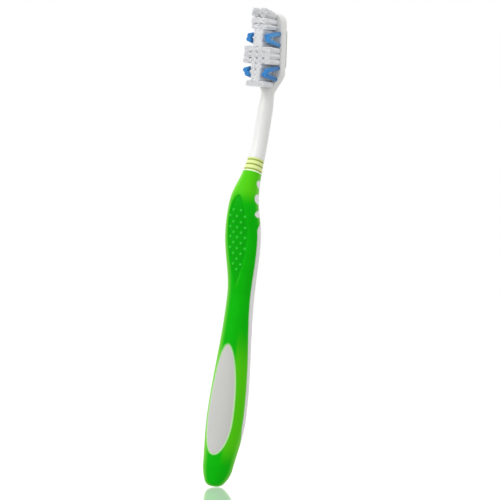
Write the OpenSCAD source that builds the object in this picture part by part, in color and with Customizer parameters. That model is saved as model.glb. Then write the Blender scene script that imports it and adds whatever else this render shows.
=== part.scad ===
// Manual toothbrush, standing on its butt end: +Z runs up the handle to the head,
// the bristles and the thumb rest face -Y, and the origin is the centre of the butt's flat.

/* [Handle] */
// Height of the soft grip, from the butt to the collar
handle_len = 127; // [120:1:134]
// Width of the butt, before it rounds over
butt_w = 11.4; // [11:0.1:14]
// Depth of the butt, before it rounds over
butt_d = 10.4; // [10:0.1:13]
// Height over which the butt rounds over
butt_round = 7.5; // [6:0.1:9]
// Width of the flat that the butt stands on
butt_flat_w = 6.4; // [5:0.1:7]
// How far the flat is set to the front of the butt's middle, under the brush's weight
flat_shift = 1; // [0.6:0.1:1.2]
// Height of the palm swell above the butt
palm_z = 28; // [24:0.5:32]
// Width of the palm swell
palm_w = 16.4; // [14.5:0.1:18]
// Depth of the palm swell
palm_d = 13.6; // [12:0.1:15]
// How far the palm swell bows to the back
palm_bow = 1.9; // [0:0.1:3]
// Drop from the collar to the waist
waist_drop = 49; // [45:0.5:53]
// Width of the waist
waist_w = 11; // [10:0.1:12.5]
// Depth of the waist
waist_d = 10.6; // [9.5:0.1:12]
// Drop from the collar to the thumb rest
thumb_drop = 25; // [22:0.5:28]
// Width of the thumb rest
thumb_w = 15.5; // [14:0.1:16.5]
// Depth of the thumb rest
thumb_d = 10; // [9.4:0.1:12]
// How far the thumb rest bows to the front
thumb_bow = 4.9; // [3:0.1:5.5]
// Drop from the collar to the shoulder above the thumb rest
shoulder_drop = 12; // [10:0.5:14]
// Width of the shoulder
shoulder_w = 12; // [11:0.1:13]
// Depth of the shoulder
shoulder_d = 10.8; // [9.8:0.1:12]
// How far the shoulder bows to the front
shoulder_bow = 7.6; // [5.6:0.1:8.5]

/* [Soft grip] */
// Thickness of the soft grip over the core
grip_t = 1.2; // [0.9:0.05:1.5]
// Thickness of the soft cap under the butt
cap_t = 1.6; // [1.2:0.1:2.2]
// How far up from the window's lower end the grip still wraps all the way round
boot_rise = 1.7; // [1:0.1:4]
// Length of the round end of the bare back panel
tail_len = 12; // [9:0.5:15]
// Drop from the collar to the first scallop's centre
scallop_drop = 4.1; // [3.8:0.1:4.5]
// Distance from one scallop to the next
scallop_pitch = 6; // [5.6:0.1:6.4]
// Half-height of the largest scallop
scallop_r = 2.1; // [1.6:0.05:2.4]

/* [Thumb pad] */
// Drop from the collar to the pad's upper end
pad_top_drop = 10; // [8:0.5:13]
// Drop from the collar to the pad's widest place
pad_wide_drop = 23; // [20:0.5:26]
// Drop from the collar to the pad's lower point
pad_low_drop = 47; // [44:0.5:50]
// Width of the pad
pad_w = 9.8; // [8.5:0.1:11]
// Depth of the pad below the grip around it
pad_depth = 0.5; // [0.3:0.05:0.7]
// Width of the slope at the pad's edge
pad_slope = 1.1; // [0.8:0.1:1.6]
// Rise from the pad's lower point to the lowest dot
dot_rise = 9.1; // [8.2:0.1:10]
// Rows of dots
dot_rows = 12; // [8:1:13]
// Distance from one row of dots to the next
dot_pitch = 2.1; // [1.9:0.05:2.2]
// Distance between two dots of a row
dot_gap = 3.4; // [3:0.1:3.8]
// Diameter of a dot
dot_d = 1.4; // [1:0.1:1.7]
// Height of a dot above the pad
dot_h = 0.4; // [0.3:0.05:0.5]

/* [Window] */
// Height of the window's lower end above the butt
window_low_z = 12.8; // [11.5:0.1:14]
// Height of the window's widest place above the butt
window_wide_z = 28.3; // [26:0.1:31]
// Height of the window's upper end above the butt
window_top_z = 57.8; // [54:0.5:60]
// Width of the window
window_w = 10.8; // [9:0.1:11.5]

/* [Collar and neck] */
// Length of the collar
collar_len = 5.8; // [5:0.1:6.6]
// Thickness of the collar's sleeve, let into the neck
collar_t = 0.9; // [0.7:0.05:1]
// Grooves round the collar
groove_count = 3; // [2:1:4]
// Depth of a collar groove
groove_depth = 0.35; // [0.2:0.05:0.45]
// Width at the collar's foot
collar_w = 7.7; // [7.4:0.1:8.6]
// Depth at the collar's foot
collar_d = 7.8; // [7.4:0.1:8.6]
// How far the collar's foot bows to the front
collar_bow = 4.4; // [3:0.1:5.4]
// Length of the bare neck, from the collar to the head
neck_len = 27.5; // [22:0.5:32]
// Width of the neck, between the collar and the throat
neck_w = 6.1; // [5.6:0.1:7.2]
// Depth of the neck, between the collar and the throat
neck_d = 6; // [5.2:0.1:6.8]
// How far the neck bows to the front where it has come down from the collar
neck_bow = 1.3; // [0.5:0.1:2]
// Width of the neck where it meets the head
throat_w = 5.4; // [4.8:0.1:6.2]
// Depth of the neck where it meets the head
throat_d = 4.8; // [4.2:0.1:5.4]
// How far the throat bows to the front
throat_bow = 0.5; // [0:0.1:0.8]

/* [Head] */
// Length of the head, from the throat to the tip
head_len = 32.2; // [30:0.1:34]
// Width of the head
head_w = 12.6; // [12:0.1:13.5]
// Width of the head near its tip
tip_w = 10.6; // [10:0.1:11.6]
// Length over which the throat widens to the head
flare_len = 8.5; // [7.5:0.5:9]
// Length over which the tip rounds over
tip_round = 4.5; // [4:0.1:5]
// Thickness of the head plate
plate_t = 4.2; // [3.9:0.1:5]
// Forward tilt of the head, in degrees
head_tilt = 7; // [4:0.5:10]
// Thickness of the tongue pad's base
tongue_t = 0.7; // [0.5:0.05:0.9]
// Height of a rib on the tongue pad
rib_h = 0.35; // [0.2:0.05:0.5]
// Width of a rib on the tongue pad
rib_w = 0.7; // [0.5:0.05:0.8]
// Distance from one rib to the next
rib_pitch = 2; // [1.8:0.05:2.4]
// Margin from the head's edge to the tongue pad
tongue_margin = 0.25; // [0.1:0.05:1.2]

/* [Bristles] */
// Height of the bristles above the head plate
bristle_len = 10; // [8:0.1:11.5]
// Extra height of the tufts in the last two rows at the tip
tip_rise = 0.8; // [0:0.1:1.5]
// Distance from the throat to the first row of tufts
first_row = 3.5; // [3.3:0.05:3.7]
// Distance from one row of tufts to the next
row_pitch = 2.26; // [2.2:0.01:2.3]
// Least distance from the last row of tufts to the tip of the head
last_gap = 1.5; // [1.4:0.05:1.7]
// Distance from the head's edge to a tuft's centre
tuft_margin = 1.45; // [1.4:0.05:1.6]
// Diameter of a tuft hole
hole_d = 1.7; // [1.5:0.05:1.7]
// Depth of a tuft hole
hole_depth = 3; // [2.6:0.1:3.2]
// Strands in a tuft
strand_count = 8; // [7:1:10]
// Thickness of a strand across its corners
strand_d = 0.34; // [0.2:0.01:0.35]
// How far a tuft spreads, from its hole to its tip
tuft_spread = 0.2; // [0:0.01:0.22]
// How far a blue tuft gathers, from its hole to its tip
blue_gather = 0.15; // [0.1:0.01:0.25]
// How far the tip of a blue tuft leans towards its partner
blue_lean = 1.4; // [0:0.05:1.4]
// How far the tips of the last row lean over the end of the head
tip_lean = 1.1; // [0:0.1:1.6]
// Thickness of an anchor wire
anchor_t = 0.25; // [0.2:0.01:0.35]
// Height of an anchor wire, along its hole
anchor_h = 1.2; // [1:0.05:1.5]
// Height of an anchor wire above the bottom of its hole
anchor_lift = 0.5; // [0.4:0.05:0.8]

/* [Hidden] */
// Where the neck is straight, as shares of its length from the collar
neck_shares = [0.3, 0.72];
collar_z = handle_len;
neck_z = collar_z + collar_len;
throat_z = neck_z + neck_len;
tip_z = throat_z + head_len;
waist_z = collar_z - waist_drop;
thumb_z = collar_z - thumb_drop;
pad_top_z = collar_z - pad_top_drop;
pad_wide_z = collar_z - pad_wide_drop;
pad_low_z = collar_z - pad_low_drop;
dot_z = pad_low_z + dot_rise;
plate_z = throat_z + flare_len / 2;
plate_slope = tan(head_tilt);
shoulder_z = collar_z - shoulder_drop;
neck_low_z = neck_z + neck_shares[0] * neck_len;
neck_high_z = neck_z + neck_shares[1] * neck_len;
boot_h = window_low_z + boot_rise;
// A step that is small beside every size, for slopes and for points that coincide
tiny = 0.001;

// Angles round the section, counted from the front: the grip's edges
thumb_edge = 75;
palm_edge = 86;
lobe_edge = 103;
scallop_edge = 72;
// Height over which the edge draws in below the lowest lobe, and the drop from the first
// scallop to that lobe, in pitches
lobe_run = 3.2;
lobe_pitches = 2.5;
// Where the edge starts to draw in above the palm, as a share of the way to the waist
draw_in_share = 0.4;
// Heights of the three scallops as shares of the largest one
scallop_shares = [0.8, 1, 0.66];

// Sections between which the body runs smoothly: height, half width, half depth, bow to the back
stations = [
    [0, butt_w / 2, butt_d / 2, 0],
    [palm_z, palm_w / 2, palm_d / 2, palm_bow],
    [waist_z, waist_w / 2, waist_d / 2, 0],
    [thumb_z, thumb_w / 2, thumb_d / 2, -thumb_bow],
    [shoulder_z, shoulder_w / 2, shoulder_d / 2, -shoulder_bow],
    [collar_z, collar_w / 2, collar_d / 2, -collar_bow],
    [neck_low_z, neck_w / 2, neck_d / 2, -neck_bow],
    [neck_high_z, neck_w / 2, neck_d / 2,
        -mix(neck_bow, throat_bow, (neck_high_z - neck_low_z) / (throat_z - neck_low_z))],
    [throat_z, throat_w / 2, throat_d / 2, -throat_bow],
    [plate_z, throat_w / 2, plate_t / 2, -throat_bow - plate_slope * flare_len / 4],
];

// The grip's edge up the side of the handle: height, angle from the front
lobe_z = collar_z - scallop_drop - lobe_pitches * scallop_pitch;
edges = [
    [boot_h + tail_len, palm_edge],
    [mix(palm_z, waist_z, draw_in_share), palm_edge],
    [waist_z, thumb_edge],
    [lobe_z - lobe_run, thumb_edge],
    [lobe_z, lobe_edge],
    [collar_z, lobe_edge],
];

// Rows of tufts from the throat to the tip: places as shares of the row's half width,
// and 1 where the tuft is blue
white_row_shares = [[-1, 0], [-0.333, 0], [0.333, 0], [1, 0]];
blue_row_shares = [[-1, 1], [-0.333, 0], [0.333, 0], [1, 1]];
inner_row_shares = [[-0.333, 0], [0.333, 0]];
heel_row_shares = [[-1, 0], [0, 0], [1, 0]];
narrow_row_shares = [[-0.55, 0], [0, 0], [0.55, 0]];
tip_row_shares = [[-0.6, 0], [0.6, 0]];
first_rows_shares = [
    heel_row_shares, blue_row_shares, inner_row_shares, blue_row_shares,
    white_row_shares, white_row_shares, white_row_shares,
    blue_row_shares, inner_row_shares, blue_row_shares,
];
row_count = 1 + floor((head_len - last_gap - first_row) / row_pitch);
row_shares = [for (i = [0:row_count - 1]) i == row_count - 1 ? tip_row_shares
    : i < len(first_rows_shares) ? first_rows_shares[i] : narrow_row_shares];
// Way in which the blue tufts of the first rows lean, towards the row between them
pair_lean = [0, 1, 0, -1, 0, 0, 0, 1, 0, -1];

// Smooth curve through a table's rows that never swings past them
function chord(p, i, c) = (p[i + 1][c] - p[i][c]) / (p[i + 1][0] - p[i][0]);
function both(a, b) = a * b <= 0 ? 0 : 2 * a * b / (a + b);
function slope(p, i, c) = i == 0 || i == len(p) - 1 ? 0 : both(chord(p, i - 1, c), chord(p, i, c));
function span(p, z, i = 0) = i >= len(p) - 2 || z < p[i + 1][0] ? i : span(p, z, i + 1);
function hermite(a, b, ma, mb, t) =
    a + (b - a) * t * t * (3 - 2 * t) + t * (1 - t) * (ma * (1 - t) - mb * t);
function smooth(p, z, c) =
    let (i = span(p, z), h = p[i + 1][0] - p[i][0], t = min(1, max(0, (z - p[i][0]) / h)))
    hermite(p[i][c], p[i + 1][c], slope(p, i, c) * h, slope(p, i + 1, c) * h, t);
function ease(t) = let (u = min(1, max(0, t))) u * u * (3 - 2 * u);
function mix(a, b, t) = a + (b - a) * t;
// Quarter round: rises from 0 to 1 steeply at first, as a circle does
function quarter(t) = let (u = 1 - min(1, max(0, t))) sqrt(1 - u * u);
// Half width of an egg that has its widest place at wide, by an ellipse raised to a power:
// 0.5 is the ellipse itself, more is more pointed
window_powers = [0.5, 0.58];
pad_powers = [1.3, 0.5];
function egg(z, low, wide, top, w, powers) =
    z <= low || z >= top ? 0 :
    z < wide ? w / 2 * pow(1 - pow((wide - z) / (wide - low), 2), powers[0])
    : w / 2 * pow(1 - pow((z - wide) / (top - wide), 2), powers[1]);
function window_half(z) = egg(z, window_low_z, window_wide_z, window_top_z, window_w, window_powers);
function pad_half(z) = egg(z, pad_low_z, pad_wide_z, pad_top_z, pad_w, pad_powers);

// The outside of the brush at a height: half width, half depth, bow, squareness and lean
tip_power = 0.85;
butt_power = 2.3;
handle_squareness = 2.1;
head_squareness = 7;
head_flatness = 1.05;
head_taper_len = head_len - flare_len - tip_round;
function head_half(z) =
    let (wide = mix(head_w, tip_w, max(0, (z - throat_z - flare_len) / head_taper_len)) / 2)
    mix(throat_w / 2, wide, ease((z - throat_z) / flare_len))
    * pow(quarter((tip_z - z) / tip_round), tip_power);
function butt_share(z) = mix(butt_flat_w / butt_w, 1, pow(quarter(z / butt_round), butt_power));
function half_w(z) = z > throat_z ? head_half(z) : smooth(stations, z, 1) * butt_share(z);
function half_d(z) = smooth(stations, z, 2) * butt_share(z);
function bow(z) = flat_shift * ease(z / butt_round) + (z < plate_z ? smooth(stations, z, 3)
    : stations[len(stations) - 1][3] - (z - plate_z) * plate_slope);
function headness(z) = ease(2 * (z - throat_z) / flare_len);
function squareness(z) = mix(handle_squareness, head_squareness, headness(z));
function flatness(z) = mix(1, head_flatness, headness(z));
function lean(z) = atan((bow(z + tiny) - bow(z)) / tiny);

// A point on the section at a height and an angle from the front, sunk below the outside
function spot(z, angle, sunk) =
    let (c = cos(angle), s = sin(angle), n = 2 / squareness(z), tilt = lean(z))
    let (x = (half_w(z) - sunk) * sign(s) * pow(abs(s), n))
    let (y = -(half_d(z) - sunk) * sign(c) * min(1, flatness(z) * pow(abs(c), n)))
    [x, bow(z) + y * cos(tilt), z - y * sin(tilt)];

// The grip's edge and the window's edge at a height, as angles from the front
function bite(z, k) =
    let (far = (z - collar_z + scallop_drop + k * scallop_pitch) / scallop_r / scallop_shares[k])
    abs(far) >= 1 ? 0 : sqrt(1 - far * far);
function grip_edge(z) =
    z <= boot_h ? 180 :
    z < boot_h + tail_len ? mix(180, palm_edge, quarter((z - boot_h) / tail_len)) :
    smooth(edges, z, 1) - (lobe_edge - scallop_edge) * (bite(z, 0) + bite(z, 1) + bite(z, 2));
function window_edge(z) = asin(min(1, window_half(z) / half_w(z)));
// Depth of the thumb pad below the grip's outside
function pad_sunk(z, angle) =
    pad_depth * ease((pad_half(z) - half_w(z) * abs(sin(angle))) / pad_slope);

// Heights of the sections, close together where the shape changes fast
function steps(from, to, count, gather = 1) =
    [for (k = [0:count - 1]) mix(from, to, pow(k / count, gather))];
function steps_down(from, to, count, gather) =
    [for (k = [0:count - 1]) mix(to, from, pow(1 - k / count, gather))];
cap_rings = [for (share = [0, 0.08, 0.26, 0.56, 1]) share * cap_t];
low_rings = concat(steps(cap_t, window_low_z, 5, 1.4), [window_low_z]);
boot_rings = concat(steps(window_low_z, boot_h, 3, 1.6), [boot_h]);
window_rings = concat(steps(boot_h, boot_h + tail_len, 6, 2),
    steps_down(boot_h + tail_len, window_top_z, 8, 1.6), [window_top_z]);
high_rings = concat(steps(window_top_z, thumb_z, 10), steps(thumb_z, collar_z, 19), [collar_z]);
grip_rings = concat(low_rings, boot_rings, window_rings, high_rings);
collar_rings = steps(collar_z, neck_z, 4);
head_end_rings = concat(steps(neck_z, throat_z, 4), steps(throat_z, throat_z + flare_len, 6),
    steps(throat_z + flare_len, tip_z - tip_round, 3), steps_down(tip_z - tip_round, tip_z, 6, 2), [tip_z]);

// Angles round one section: a fixed fan, held between two edges
fan = [0, 16, 32, 48, 64, 78, 90, lobe_edge, 128, 154, 180];
land_count = 4;
function held(a, from, to) = a > to - 1 ? to : a < from + 1 ? from : a;
function mirrored(list) = [for (k = [1:len(list)]) -list[len(list) - k]];
function held_fan(from, to) = [for (a = fan) held(a, from, to)];
function right_angles(z) = held_fan(window_edge(z), grip_edge(z));
function left_angles(z) = mirrored(right_angles(z));
function land_angles(z) = [for (k = [0:land_count]) mix(-window_edge(z), window_edge(z), k / land_count)];
function back_of(edge) = let (half = held_fan(edge, 180)) concat(half, [for (a = mirrored(half)) 360 + a]);
function row(z, angles, sunk) = [for (a = angles) spot(z, a, sunk)];

// Closed rows of points round the core: sunk under the grip, flush at the window and the back
function core_row(z, land_sunk, back_sunk) = concat(row(z, left_angles(z), grip_t),
    row(z, land_angles(z), land_sunk), row(z, right_angles(z), grip_t),
    row(z, back_of(grip_edge(z)), back_sunk), [spot(z, -grip_edge(z), grip_t)]);
bare_half = held_fan(0, lobe_edge);
bare_angles = concat(mirrored(bare_half), [for (k = [0:land_count]) 0], bare_half,
    back_of(lobe_edge), [-lobe_edge]);
core_rows = concat(
    [for (z = low_rings) core_row(z, grip_t, grip_t)], [for (z = boot_rings) core_row(z, 0, grip_t)],
    [for (z = window_rings) core_row(z, 0, 0)], [for (z = high_rings) core_row(z, grip_t, 0)],
    [for (z = concat(collar_rings, [neck_z])) row(z, bare_angles, collar_t)],
    [for (z = head_end_rings) row(z, bare_angles, 0)]);

// Faces between rows of points, without those that have no area
function apart(t) = norm(t[0] - t[1]) > tiny && norm(t[1] - t[2]) > tiny && norm(t[2] - t[0]) > tiny;
function band(a, b) = [for (j = [0:len(a) - 2]) each [
    for (t = [[a[j], b[j + 1], a[j + 1]], [a[j], b[j], b[j + 1]]]) if (apart(t)) t]];
function sheet(rows) = [for (i = [0:len(rows) - 2]) each band(rows[i], rows[i + 1])];
function middle(points) =
    [for (c = [0:2]) [for (p = points) p[c]] * [for (p = points) 1] / len(points)];
function lid(points) = let (m = middle(points)) [for (j = [0:len(points) - 2])
    let (t = [points[j], points[j + 1], m]) if (apart(t)) t];
function turned(faces) = [for (t = faces) [t[0], t[2], t[1]]];
module solid(faces) {
    polyhedron(points = [for (t = faces) each t],
        faces = [for (i = [0:len(faces) - 1]) [3 * i, 3 * i + 1, 3 * i + 2]]);
}

// Head frame: origin on the plate's front at the throat, +Z up the head, -Y out of the plate
module on_head() {
    translate([0, bow(plate_z), plate_z]) rotate([head_tilt, 0, 0])
        translate([0, -plate_t / 2, (throat_z - plate_z) / cos(head_tilt)]) children();
}
function row_z(i) = first_row + i * row_pitch;
function row_half(i) = head_half(throat_z + row_z(i) * cos(head_tilt)) - tuft_margin;
function tuft_name(i, k) =
    str(row_shares[i][k][1] == 1 ? "blue" : "white", "_tuft_row", i + 1, "_", k + 1);
tuft_list = [for (i = [0:len(row_shares) - 1]) for (k = [0:len(row_shares[i]) - 1]) [i, k]];

module at_tuft(i, k) {
    translate([row_shares[i][k][0] * row_half(i), 0, row_z(i)]) children();
}

// A tuft's hole and root have eight sides; the anchor wire spans the hole from side to side
hole_sides = 8;
module plug(h) {
    translate([0, hole_depth, 0]) rotate([90, 0, 0]) cylinder(h = h, d = hole_d, $fn = hole_sides);
}
module anchor() {
    span = hole_d - anchor_t * tan(180 / hole_sides);
    translate([-span / 2, hole_depth - anchor_lift - anchor_h, -anchor_t / 2])
        cube([span, anchor_h, anchor_t]);
}

// Where the strands start in the root, as a share of the hole's depth, and the turn from
// one strand to the next, which fills the hole evenly
foot_share = 0.25;
strand_turn = 137.5;

// One strand: a three-sided prism from its foot in the root to its tip
function corner(p, k) = [p[0] + strand_d / 2 * cos(120 * k), p[1], p[2] + strand_d / 2 * sin(120 * k)];
module strand(foot, tip) {
    low = [for (k = [0:3]) corner(foot, k)];
    high = [for (k = [0:3]) corner(tip, k)];
    solid(concat(band(low, high), [[low[0], low[1], low[2]], [high[0], high[2], high[1]]]));
}

module tuft(i, k) {
    tall = bristle_len + (i > row_count - 3 ? tip_rise : 0);
    blue = row_shares[i][k][1];
    over = blue == 1 ? pair_lean[i] * blue_lean : i == row_count - 1 ? tip_lean : 0;
    inner = hole_d / 2 - strand_d / 2;
    spread = 1 + (blue == 1 ? -blue_gather : tuft_spread) / inner;
    on_head() at_tuft(i, k) {
        difference() {
            plug(hole_depth);
            anchor();
        }
        for (n = [0:strand_count - 1]) {
            out = inner * sqrt((n + 0.5) / strand_count);
            turn = n * strand_turn;
            strand([out * cos(turn), foot_share * hole_depth, out * sin(turn)],
                [out * spread * cos(turn), -tall, out * spread * sin(turn) + over]);
        }
    }
}

module handle_core() {
    color("white") difference() {
        solid(concat(sheet(core_rows), lid(core_rows[0])));
        on_head() for (t = tuft_list) at_tuft(t[0], t[1]) plug(hole_depth + plate_t);
    }
}

// The grip's outside, its inside on the core, and the walls that close its edges
function outer_row(z, angles) = [for (a = angles) spot(z, a, pad_sunk(z, a))];
function wall(rings, edge, sign) = [for (i = [0:len(rings) - 2])
    if (edge(rings[i]) != edge(rings[i + 1]) || spare(edge(rings[i]))) each band(
        [for (s = [0, grip_t]) spot(rings[i], sign * edge(rings[i]), s)],
        [for (s = [0, grip_t]) spot(rings[i + 1], sign * edge(rings[i + 1]), s)])];
function spare(angle) = angle > 0 && angle < 180;

// Dots of the thumb pad: a staggered field, as far as the pad is wide enough
dot_top_share = 0.6;
dot_sides = 6;
function dot_places(i) =
    [for (k = i % 2 == 0 ? [-1, 0, 1] : [-0.5, 0.5])
        if (abs(k) * dot_gap + dot_top_share * dot_d < pad_half(dot_z + i * dot_pitch)) k * dot_gap];
function pad_face(z) = bow(z) - half_d(z) + pad_sunk(z, 0);
module pad_dot(x, z) {
    angle = asin(x / half_w(z));
    foot = spot(z, angle, pad_sunk(z, angle));
    tilt = atan((pad_face(z + tiny) - pad_face(z)) / tiny);
    translate(foot) rotate([-tilt, 0, atan2(half_d(z) * sin(angle), half_w(z) * cos(angle))])
        rotate([90, 0, 0]) hull() {
            translate([0, 0, -dot_h]) cylinder(h = dot_h, d = dot_d, $fn = dot_sides);
            cylinder(h = dot_h, d = dot_top_share * dot_d, $fn = dot_sides);
        }
}

module front_grip() {
    soft_rings = concat(cap_rings, [for (z = grip_rings) if (z > cap_t) z]);
    outside = concat(sheet([for (z = soft_rings) outer_row(z, left_angles(z))]),
        sheet([for (z = soft_rings) outer_row(z, right_angles(z))]));
    inside = concat(sheet([for (z = grip_rings) row(z, left_angles(z), grip_t)]),
        sheet([for (z = grip_rings) row(z, right_angles(z), grip_t)]));
    whole = function(z) concat(left_angles(z), right_angles(z));
    bottom = lid(outer_row(0, whole(0)));
    pocket = turned(lid(row(cap_t, whole(cap_t), grip_t)));
    top = band(outer_row(collar_z, whole(collar_z)), row(collar_z, whole(collar_z), grip_t));
    walls = concat(wall(grip_rings, function(z) grip_edge(z), 1),
        turned(wall(grip_rings, function(z) grip_edge(z), -1)),
        wall(grip_rings, function(z) window_edge(z), -1),
        turned(wall(grip_rings, function(z) window_edge(z), 1)));
    color("limegreen") union() {
        solid(concat(outside, turned(inside), bottom, pocket, top, walls));
        for (i = [0:dot_rows - 1]) for (x = dot_places(i)) pad_dot(x, dot_z + i * dot_pitch);
    }
}

module neck_collar() {
    heights = concat(steps(collar_z, neck_z, 4 * groove_count), [neck_z]);
    groove = function(z) groove_depth * (1 - cos(360 * groove_count * (z - collar_z) / collar_len)) / 2;
    outside = [for (z = heights) row(z, bare_angles, groove(z))];
    inside = [for (z = concat(collar_rings, [neck_z])) row(z, bare_angles, collar_t)];
    color("greenyellow") solid(concat(sheet(outside), turned(sheet(inside)),
        turned(band(outside[0], inside[0])), band(outside[len(outside) - 1], inside[len(inside) - 1])));
}

// The tongue pad keeps a margin to the head's edge and rounds over at both ends
tongue_low = flare_len;
tongue_top = head_len - tip_round;
tongue_round = 3;
function tongue_half(z) = (head_half(throat_z + z * cos(head_tilt)) - tongue_margin)
    * quarter((z - tongue_low) / tongue_round) * quarter((tongue_top - z) / tongue_round);
tongue_steps = concat(steps(tongue_low, tongue_low + tongue_round, 5, 2),
    steps(tongue_low + tongue_round, tongue_top - tongue_round, 3),
    steps_down(tongue_top - tongue_round, tongue_top, 5, 2));

module tongue_pad() {
    color("honeydew") on_head() translate([0, plate_t, 0]) {
        rotate([-90, 0, 0]) linear_extrude(tongue_t) polygon(concat(
            [for (z = tongue_steps) [tongue_half(z), -z]], [[0, -tongue_top]],
            [for (k = [1:len(tongue_steps) - 1]) let (z = tongue_steps[len(tongue_steps) - k])
                [-tongue_half(z), -z]]));
        for (z = [tongue_low + rib_pitch:rib_pitch:tongue_top - rib_pitch])
            let (half = min(tongue_half(z - rib_w), tongue_half(z + rib_w)) - rib_w / 2)
            translate([-half, tongue_t / 2, z - rib_w / 2]) cube([2 * half, tongue_t / 2 + rib_h, rib_w]);
    }
}

module anchor_wires() {
    color("goldenrod") on_head() for (t = tuft_list) at_tuft(t[0], t[1]) anchor();
}

handle_core();
front_grip();
neck_collar();
tongue_pad();
anchor_wires();
for (t = tuft_list)
    color(row_shares[t[0]][t[1]][1] == 1 ? "steelblue" : "whitesmoke") tuft(t[0], t[1]);
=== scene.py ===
# Manual toothbrush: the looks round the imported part. Sizes are in millimetres until a mesh is made.
import math
import bpy
import bmesh
import numpy as np
from mathutils import Matrix, Vector


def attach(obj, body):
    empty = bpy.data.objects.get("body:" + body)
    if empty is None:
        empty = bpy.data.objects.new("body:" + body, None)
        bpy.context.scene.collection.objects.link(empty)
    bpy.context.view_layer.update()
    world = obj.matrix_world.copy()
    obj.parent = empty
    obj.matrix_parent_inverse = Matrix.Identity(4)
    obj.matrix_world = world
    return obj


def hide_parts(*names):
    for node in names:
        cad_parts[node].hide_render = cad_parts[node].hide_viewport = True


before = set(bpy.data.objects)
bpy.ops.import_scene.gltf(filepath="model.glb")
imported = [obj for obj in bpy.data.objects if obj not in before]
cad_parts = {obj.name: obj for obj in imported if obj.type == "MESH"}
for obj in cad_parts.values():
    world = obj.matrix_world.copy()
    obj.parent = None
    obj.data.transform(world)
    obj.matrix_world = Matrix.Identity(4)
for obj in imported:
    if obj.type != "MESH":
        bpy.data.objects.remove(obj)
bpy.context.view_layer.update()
print("frame loaded")

mm = 0.001  # one millimetre in metres
rng = np.random.default_rng(11)

# The brush's own form, with the same sizes as its solids. Up the handle, a station is its height, its
# width, its depth and how far its middle lies to the back. The last three stations have no height of
# their own, because the lengths give it.

body = {
    "handleLen": 127, "collarLen": 5.8, "neckLen": 27.5, "neckShares": (0.3, 0.72),
    "buttWidth": 11.4, "buttDepth": 10.4, "buttRound": 7.5, "buttPower": 2.3, "buttFlat": 6.4,
    "flatShift": 1, "gripThick": 1.2, "capThick": 1.6, "bootTop": 14.5, "tailLen": 12, "collarThick": 0.9,
    "palm": (28, 16.4, 13.6, 1.9), "waist": (78, 11, 10.6, 0), "thumb": (102, 15.5, 10, -4.9),
    "shoulder": (115, 12, 10.8, -7.6), "collar": (7.7, 7.8, -4.4), "neck": (6.1, 6, -1.3),
    "throat": (5.4, 4.8, -0.5),
}
head = {
    "length": 32.2, "width": 12.6, "tipWidth": 10.6, "flareLen": 8.5, "tipRound": 4.5, "tipPower": 0.85,
    "plateThick": 4.2, "tilt": math.radians(7), "squareness": (2.1, 7), "flatness": 1.05,
    "edgeRound": 0.8, "edgeShare": 0.75,
}
# the grip's edge: its angles from the front in degrees, and where and how far it changes between them
gripEdges = {
    "thumb": 75, "palm": 86, "lobe": 103, "scallop": 72, "lobeRun": 3.2, "lobePitches": 2.5,
    "drawInShare": 0.4, "scallopDrop": 4.1, "scallopPitch": 6, "scallopRadius": 2.1,
    "scallopShares": (0.8, 1, 0.66),
}
window = {"low": 12.8, "wide": 28.3, "top": 57.8, "width": 10.8, "powers": (0.5, 0.58)}
pad = {"low": 80, "wide": 104, "top": 117, "width": 9.8, "powers": (1.3, 0.5), "depth": 0.5, "slope": 1.1}

collarZ = body["handleLen"]
neckZ = collarZ + body["collarLen"]
throatZ = neckZ + body["neckLen"]
tipZ = throatZ + head["length"]
plateZ = throatZ + head["flareLen"] / 2
plateSlope = math.tan(head["tilt"])
slopeStep = 0.001  # the small rise over which the bow's slope is taken


def mix(a, b, t):
    return a + (b - a) * t


def ease(t):
    # from 0 to 1, slow at both ends
    u = np.clip(t, 0, 1)
    return u * u * (3 - 2 * u)


def quarter(t):
    # a quarter circle, which rises from 0 to 1 steeply at first
    return np.sqrt(np.maximum(0, 1 - (1 - np.clip(t, 0, 1)) ** 2))


def bodyTable():
    # rows of height, half width, half depth and bow, from the butt to the head plate
    low, high = (neckZ + share * body["neckLen"] for share in body["neckShares"])
    w, d, bow = body["neck"]
    tw, td, tBow = body["throat"]
    highBow = mix(bow, tBow, (high - low) / (throatZ - low))
    plateBow = tBow - plateSlope * head["flareLen"] / 4
    rows = [(0, body["buttWidth"], body["buttDepth"], 0)]
    rows += [body[name] for name in ("palm", "waist", "thumb", "shoulder")]
    rows += [(collarZ, *body["collar"]), (low, w, d, bow), (high, w, d, highBow),
             (throatZ, tw, td, tBow), (plateZ, tw, head["plateThick"], plateBow)]
    return np.array([(z, w / 2, d / 2, b) for z, w, d, b in rows], float)


def smoothCurve(table, z, column):
    # piecewise cubic through the table, whose slopes are the harmonic means of the chords beside
    # them and 0 where the table turns, so that it never swings past its rows
    x, y = table[:, 0], table[:, column]
    step = np.diff(x)
    chord = np.diff(y) / step
    slope = np.zeros(len(x))
    even = chord[:-1] * chord[1:] > 0
    slope[1:-1][even] = (2 * chord[:-1] * chord[1:])[even] / (chord[:-1] + chord[1:])[even]
    i = np.clip(np.searchsorted(x, z, "right") - 1, 0, len(step) - 1)
    t = np.clip((z - x[i]) / step[i], 0, 1)
    ends = t * (1 - t) * (slope[i] * step[i] * (1 - t) - slope[i + 1] * step[i] * t)
    return y[i] + (y[i + 1] - y[i]) * t * t * (3 - 2 * t) + ends


bodyRows = bodyTable()


def headHalf(z):
    # half the head's width: a straight taper, eased in from the throat and rounded at the tip
    taper = head["length"] - head["flareLen"] - head["tipRound"]
    wide = mix(head["width"], head["tipWidth"], np.maximum(0, (z - throatZ - head["flareLen"]) / taper)) / 2
    flare = mix(body["throat"][0] / 2, wide, ease((z - throatZ) / head["flareLen"]))
    return flare * quarter((tipZ - z) / head["tipRound"]) ** head["tipPower"]


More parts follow.
